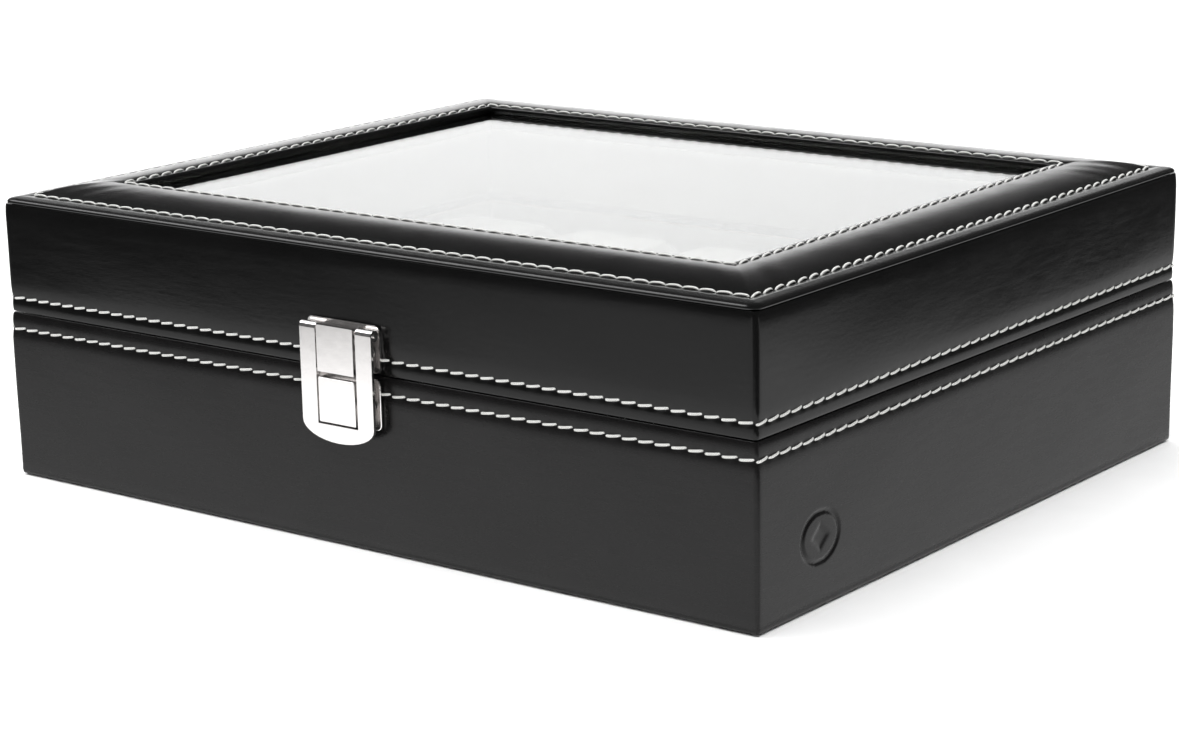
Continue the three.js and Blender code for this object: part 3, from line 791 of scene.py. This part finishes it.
def add_seams():
    base_half = cad_half("base_leather_wrap")
    lid_half = cad_half("lid_leather_wrap")
    sunk = SEAM_DEPTH * STITCH_SEAT
    for name, half, node, body in (
        ("base_rim_stitches", base_half, "base_stitching", "base"),
        ("lid_rim_stitches", lid_half, "lid_stitching", "lid"),
    ):
        height = middle_z(node)
        inset = sunk - WALL_LEAN * height
        seam_half = (half[0] - inset, half[1] - inset)
        stitched_seam(name, seam_half, CORNER_RADIUS - inset, height, 0.0, node, body)
    # lean is the angle above the horizontal, in degrees, of the leather's normal along the seam.
    for name, inset, height, lean, node in (
        ("pad_outer_stitches", PAD_OUTER_SEAM, PAD_SEAM_Z - 0.05, 80, "pad_outer_stitching"),
        ("pad_inner_stitches", PAD_INNER_SEAM, PAD_SEAM_Z + PAD_RISE - 0.15, 88, "pad_inner_stitching"),
    ):
        seam_half = (lid_half[0] - inset[0], lid_half[1] - inset[1])
        stitched_seam(name, seam_half, PAD_SEAM_CORNER, height, math.radians(lean), node, "lid")


# ---------------------------------------------------------------- carried-over CAD nodes
SHARP_EDGE = math.radians(35)


def finish_node(node, material, bevel=0.0):
    """Keeps a CAD node's mesh, with a small bevel in millimetres on its sharp edges."""
    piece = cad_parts[node]
    piece.data.materials.clear()
    piece.data.materials.append(material)
    if bevel > 0:
        modifier = piece.modifiers.new("bevel", "BEVEL")
        modifier.width = bevel * MM
        modifier.segments = 2
        modifier.limit_method = "ANGLE"
        modifier.angle_limit = SHARP_EDGE
        modifier.harden_normals = False
    piece.data.polygons.foreach_set("use_smooth", [True] * len(piece.data.polygons))
    piece.data.set_sharp_from_angle(angle=SHARP_EDGE)


def finish_nodes():
    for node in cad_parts:
        if node in ("lid_top_board", "glass_bead"):
            finish_node(node, BLACK_BOARD)
        elif "board" in node:
            finish_node(node, BOARD)
        elif node.startswith("divider"):
            finish_node(node, LINING_SUEDE, bevel=0.8)
        elif node.endswith("lining"):
            finish_node(node, LINING_SUEDE, bevel=0.3)
        elif node == "glass_pane":
            finish_node(node, GLASS)
        elif node == "underside_felt":
            finish_node(node, FELT)
        elif node == "latch_lid_plate":
            finish_node(node, METAL, bevel=0.2)
        elif node.startswith("hinge") or node.startswith("latch"):
            finish_node(node, METAL, bevel=0.1)


# ---------------------------------------------------------------- cushions
# The cushion starts as its CAD block shrunk to a share of its size, remeshed in voxels, and is blown up.
CUSHION_VOXEL = 4.4
CUSHION_START = 0.93
CUSHION_PRESSURE = 4.0
CUSHION_FRAMES = 20
CUSHION_MOST_MOVE = 5.0
CUSHION_CLEARANCE = 0.25
# Its end panels are sewn to the band round it within this reach of the edges.
SEAM_BAND = 3.6
CUSHION_SEAM_DEPTH = 0.7


def evaluated_mesh(piece):
    """The mesh that a piece's modifiers make, as a new mesh."""
    bpy.context.view_layer.update()
    return bpy.data.meshes.new_from_object(piece.evaluated_get(bpy.context.evaluated_depsgraph_get()))


def mesh_points(mesh):
    points = np.empty(len(mesh.vertices) * 3)
    mesh.vertices.foreach_get("co", points)
    return points.reshape(-1, 3) / MM


def set_points(mesh, points):
    mesh.vertices.foreach_set("co", (points * MM).ravel())
    mesh.update()


def mark_seams(piece, half):
    """A vertex group on the two ridges where the end panels are sewn to the band."""
    points = np.abs(mesh_points(piece.data))
    round_corner = half[1] / 3
    reach = np.maximum(points[:, 1:] - (half[1:] - round_corner), 0)
    from_outline = round_corner - np.linalg.norm(reach, axis=1)
    ridge = (half[0] - points[:, 0] < SEAM_BAND) & (from_outline < SEAM_BAND)
    group = piece.vertex_groups.new(name="seam")
    group.add(np.flatnonzero(ridge).tolist(), 1.0, "REPLACE")


def inflate(piece):
    """Blows the cushion up with a cloth simulation, sewn edges held, and keeps the result in its mesh."""
    before = mesh_points(piece.data)
    cloth = piece.modifiers.new("cloth", "CLOTH")
    cloth.settings.use_pressure = True
    cloth.settings.uniform_pressure_force = CUSHION_PRESSURE
    cloth.settings.effector_weights.gravity = 0
    cloth.settings.vertex_group_mass = "seam"
    cloth.point_cache.frame_end = CUSHION_FRAMES
    for step in range(1, CUSHION_FRAMES + 1):
        bpy.context.scene.frame_set(step)
    blown = evaluated_mesh(piece)
    after = mesh_points(blown)
    move = after - before
    size = np.linalg.norm(move, axis=1)[:, None]
    after = before + move * np.minimum(1, CUSHION_MOST_MOVE / np.maximum(size, 1e-6))
    piece.modifiers.remove(cloth)
    bpy.data.meshes.remove(blown)
    set_points(piece.data, after)
    bpy.context.scene.frame_set(1)


def sink_seams(piece):
    """Draws the sewn ridges in along the surface's normal."""
    mesh = piece.data
    weights = np.zeros(len(mesh.vertices))
    for vertex in mesh.vertices:
        for member in vertex.groups:
            weights[vertex.index] = member.weight
    normals = np.empty(len(mesh.vertices) * 3)
    mesh.vertices.foreach_get("normal", normals)
    sunk = CUSHION_SEAM_DEPTH * weights ** 4
    set_points(mesh, mesh_points(mesh) - normals.reshape(-1, 3) * sunk[:, None])


def cushion_mesh(node):
    """One stuffed suede cushion, centred on the origin and filling the CAD cushion's box."""
    low, high = cad_box(node)
    half = (high - low) / 2
    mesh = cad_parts[node].data.copy()
    set_points(mesh, (mesh_points(mesh) - (low + high) / 2) * CUSHION_START)
    piece = bpy.data.objects.new("cushion_work", mesh)
    bpy.context.scene.collection.objects.link(piece)
    remesh = piece.modifiers.new("remesh", "REMESH")
    remesh.mode = "VOXEL"
    remesh.voxel_size = CUSHION_VOXEL * MM
    piece.data = evaluated_mesh(piece)
    piece.modifiers.remove(remesh)
    mark_seams(piece, half * CUSHION_START)
    inflate(piece)
    smooth = piece.modifiers.new("smooth", "SUBSURF")
    smooth.levels = smooth.render_levels = 2
    fine = evaluated_mesh(piece)
    piece.modifiers.remove(smooth)
    piece.data = fine
    sink_seams(piece)
    points = mesh_points(fine)
    middle = (points.max(0) + points.min(0)) / 2
    grow = (half - CUSHION_CLEARANCE) / ((points.max(0) - points.min(0)) / 2)
    set_points(fine, (points - middle) * grow)
    fine.polygons.foreach_set("use_smooth", [True] * len(fine.polygons))
    fine.materials.clear()
    fine.materials.append(CUSHION_SUEDE)
    bpy.data.objects.remove(piece)
    return fine


def add_cushions():
    nodes = sorted(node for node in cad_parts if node.startswith("cushion"))
    mesh = cushion_mesh(nodes[0])
    for index, node in enumerate(nodes):
        low, high = cad_box(node)
        piece = bpy.data.objects.new(f"suede_{node}", mesh)
        piece.location = (Vector(low) + Vector(high)) / 2 * MM
        piece.rotation_euler = (0, 0, math.pi * (index % 2))
        bpy.context.scene.collection.objects.link(piece)
        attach(piece, node)
        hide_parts(node)


# ---------------------------------------------------------------- latch catch
def stacked(name, rings, material, body):
    """A closed body lofted through upright rounded rectangles, from the back one to the front one.

    Each ring is (half width, half height, corner radius, middle z, y).
    """
    stations = stations_along(1, 1, 0.1, 2, 6)
    points = []
    for half_x, half_z, radius, z, y in rings:
        flat, _ = outline(half_x, half_z, radius, stations)
        points.append(np.column_stack([flat[:, 0], np.full(len(flat), y), flat[:, 1] + z]))
    faces = loft_faces(len(rings), len(stations))
    piece = put_mesh(name, np.vstack(points), faces, material, body)
    piece.data.set_sharp_from_angle(angle=math.radians(15))
    return piece


def add_catch():
    """The catch on the base: a plate with a nose that fills the lower half of the flap's window."""
    low, high = cad_box("latch_catch")
    boss_low, _ = cad_box("latch_lid_plate")
    half_x = (high[0] - low[0]) / 2
    half_z = (high[2] - low[2]) / 2
    z = (high[2] + low[2]) / 2
    back = high[1]
    face = back - CATCH_PLATE
    front = boss_low[1]
    nose_x, nose_half_z = NOSE_HALF
    nose_z = z - NOSE_DROP
    edge = CATCH_EDGE
    piece = stacked("latch_catch_plate", [
        (half_x, half_z, CATCH_CORNER, z, back),
        (half_x, half_z, CATCH_CORNER, z, face + edge),
        (half_x - edge, half_z - edge, CATCH_CORNER - edge, z, face),
        (nose_x, nose_half_z, NOSE_CORNER, nose_z, face),
        (nose_x, nose_half_z, NOSE_CORNER, nose_z, front + edge),
        (nose_x - edge / 2, nose_half_z - edge / 2, NOSE_CORNER - edge / 3, nose_z, front + edge / 3),
        (nose_x - edge, nose_half_z - edge, NOSE_CORNER - edge * 2 / 3, nose_z, front),
    ], METAL, "base")
    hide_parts("latch_catch")


# ---------------------------------------------------------------- stage
# Lengths on the stage are in metres. The inner sheet ends at SHEET_FRONT (Y) and SHEET_RIGHT (X).
FLOOR_HALF = 4.0
CARD_HEIGHT = 0.001
CARD_FAR = 3.0
BOX_FRONT = -0.1045
BOX_RIGHT = 0.1265
SHEET_FRONT = -0.260
SHEET_RIGHT = 0.231
BACKDROP_AWAY = 1.7
BACKDROP_WIDTH = 3.6
BACKDROP_HEIGHT = 0.62
VIEW_DIRECTION = Vector((-math.sin(CAMERA_AZIMUTH), math.cos(CAMERA_AZIMUTH), 0))


def add_area_light(name, place, target, size, radiance, seen_by_gloss=True):
    """A rectangle that glows with a given radiance, turned to a target and unseen by the camera."""
    data = bpy.data.lights.new(name, "AREA")
    data.shape = "RECTANGLE"
    data.size, data.size_y = size
    data.energy = radiance * math.pi * size[0] * size[1]
    light = bpy.data.objects.new(name, data)
    light.location = place
    light.rotation_mode = "QUATERNION"
    light.rotation_quaternion = (Vector(target) - Vector(place)).to_track_quat("-Z", "Y")
    light.visible_camera = False
    light.visible_glossy = seen_by_gloss
    bpy.context.scene.collection.objects.link(light)


def hide_from(thing, *rays):
    for ray in rays:
        setattr(thing, f"visible_{ray}", False)


def add_floor():
    mesh = bpy.data.meshes.new("floor")
    corners = [(x * FLOOR_HALF, y * FLOOR_HALF, 0) for x, y in ((-1, -1), (1, -1), (1, 1), (-1, 1))]
    mesh.from_pydata(corners, [], [(0, 1, 2, 3)])
    mesh.materials.append(floor_material())
    floor = bpy.data.objects.new("floor", mesh)
    bpy.context.scene.collection.objects.link(floor)


def add_card(name, low, high, axis, stops):
    """A glowing sheet just over the floor that only reflections see.

    stops are (place along the axis in metres, brightness), from low to high.
    """
    mesh = bpy.data.meshes.new(name)
    corners = ((low[0], low[1]), (high[0], low[1]), (high[0], high[1]), (low[0], high[1]))
    mesh.from_pydata([(x, y, CARD_HEIGHT) for x, y in corners], [], [(0, 1, 2, 3)])
    material = bpy.data.materials.new(name)
    material.use_nodes = True
    tree = material.node_tree
    tree.nodes.clear()
    coordinates = tree.nodes.new("ShaderNodeTexCoord")
    split = tree.nodes.new("ShaderNodeSeparateXYZ")
    tree.links.new(coordinates.outputs["Object"], split.inputs["Vector"])
    places = [place for place, _ in stops]
    share = remap(tree, split.outputs[axis], 0, 1, places[0], places[-1])
    ramp = tree.nodes.new("ShaderNodeValToRGB")
    elements = ramp.color_ramp.elements
    while len(elements) < len(stops):
        elements.new(0.5)
    for element, (place, brightness) in zip(elements, stops):
        element.position = (place - places[0]) / (places[-1] - places[0])
        element.color = (brightness, brightness, brightness, 1)
    tree.links.new(share, ramp.inputs["Fac"])
    glow = tree.nodes.new("ShaderNodeEmission")
    tree.links.new(ramp.outputs["Color"], glow.inputs["Color"])
    output = tree.nodes.new("ShaderNodeOutputMaterial")
    tree.links.new(glow.outputs["Emission"], output.inputs["Surface"])
    mesh.materials.append(material)
    card = bpy.data.objects.new(name, mesh)
    bpy.context.scene.collection.objects.link(card)
    hide_from(card, "camera", "diffuse", "transmission", "shadow", "volume_scatter")


def add_stage():
    add_floor()
    world = bpy.data.worlds.new("studio")
    world.use_nodes = True
    world.node_tree.nodes["Background"].inputs["Color"].default_value = (1, 1, 1, 1)
    world.node_tree.nodes["Background"].inputs["Strength"].default_value = 0.1
    bpy.context.scene.world = world
    bpy.context.scene.view_settings.view_transform = "Standard"

    add_area_light(
        "overhead", place=(0, 0, 2.2), target=(0, 0, 0), size=(4.0, 4.0), radiance=2.4, seen_by_gloss=False,
    )
    add_area_light(
        "front_fill", place=(0.9, -1.4, 1.1), target=(0, 0, 0), size=(1.6, 1.6), radiance=1.6,
        seen_by_gloss=False,
    )
    add_area_light(
        "left_softbox", place=(-0.95, -0.39, 1.23), target=(0, 0, 0), size=(0.9, 0.9), radiance=4.0,
    )
    backdrop = VIEW_DIRECTION * BACKDROP_AWAY
    middle = BACKDROP_HEIGHT / 2
    add_area_light(
        "backdrop", place=(backdrop.x, backdrop.y, middle), target=(0, 0, middle),
        size=(BACKDROP_WIDTH, BACKDROP_HEIGHT), radiance=1.45,
    )

    # What the walls mirror: a bright sheet round the box, and past its edges the dimmer room.
    add_card("bright_front", (-CARD_FAR, SHEET_FRONT), (SHEET_RIGHT, BOX_FRONT), "X", (
        (-0.30, 0.5), (-0.22, 1.25), (0.08, 1.6),
    ))
    add_card("bright_right", (BOX_RIGHT, BOX_FRONT), (SHEET_RIGHT, CARD_FAR), "Y", (
        (-0.05, 1.2), (0.17, 1.0),
    ))
    add_card("dim_front", (-CARD_FAR, -CARD_FAR), (SHEET_RIGHT, SHEET_FRONT), "X", (
        (-0.33, 0.08), (-0.27, 0.14), (-0.20, 0.44), (-0.15, 0.8), (-0.10, 1.0), (0.10, 1.2), (0.20, 0.12),
    ))
    add_card("dim_right", (SHEET_RIGHT, -CARD_FAR), (CARD_FAR, CARD_FAR), "Y", (
        (-0.05, 0.12), (0.04, 1.05), (0.09, 1.2), (0.16, 0.6), (0.21, 0.25), (0.27, 0.10), (0.33, 0.08),
    ))


# ---------------------------------------------------------------- build
add_camera()
add_stage()
finish_nodes()
add_cushions()
add_catch()
add_covers()
add_pad()
add_seams()
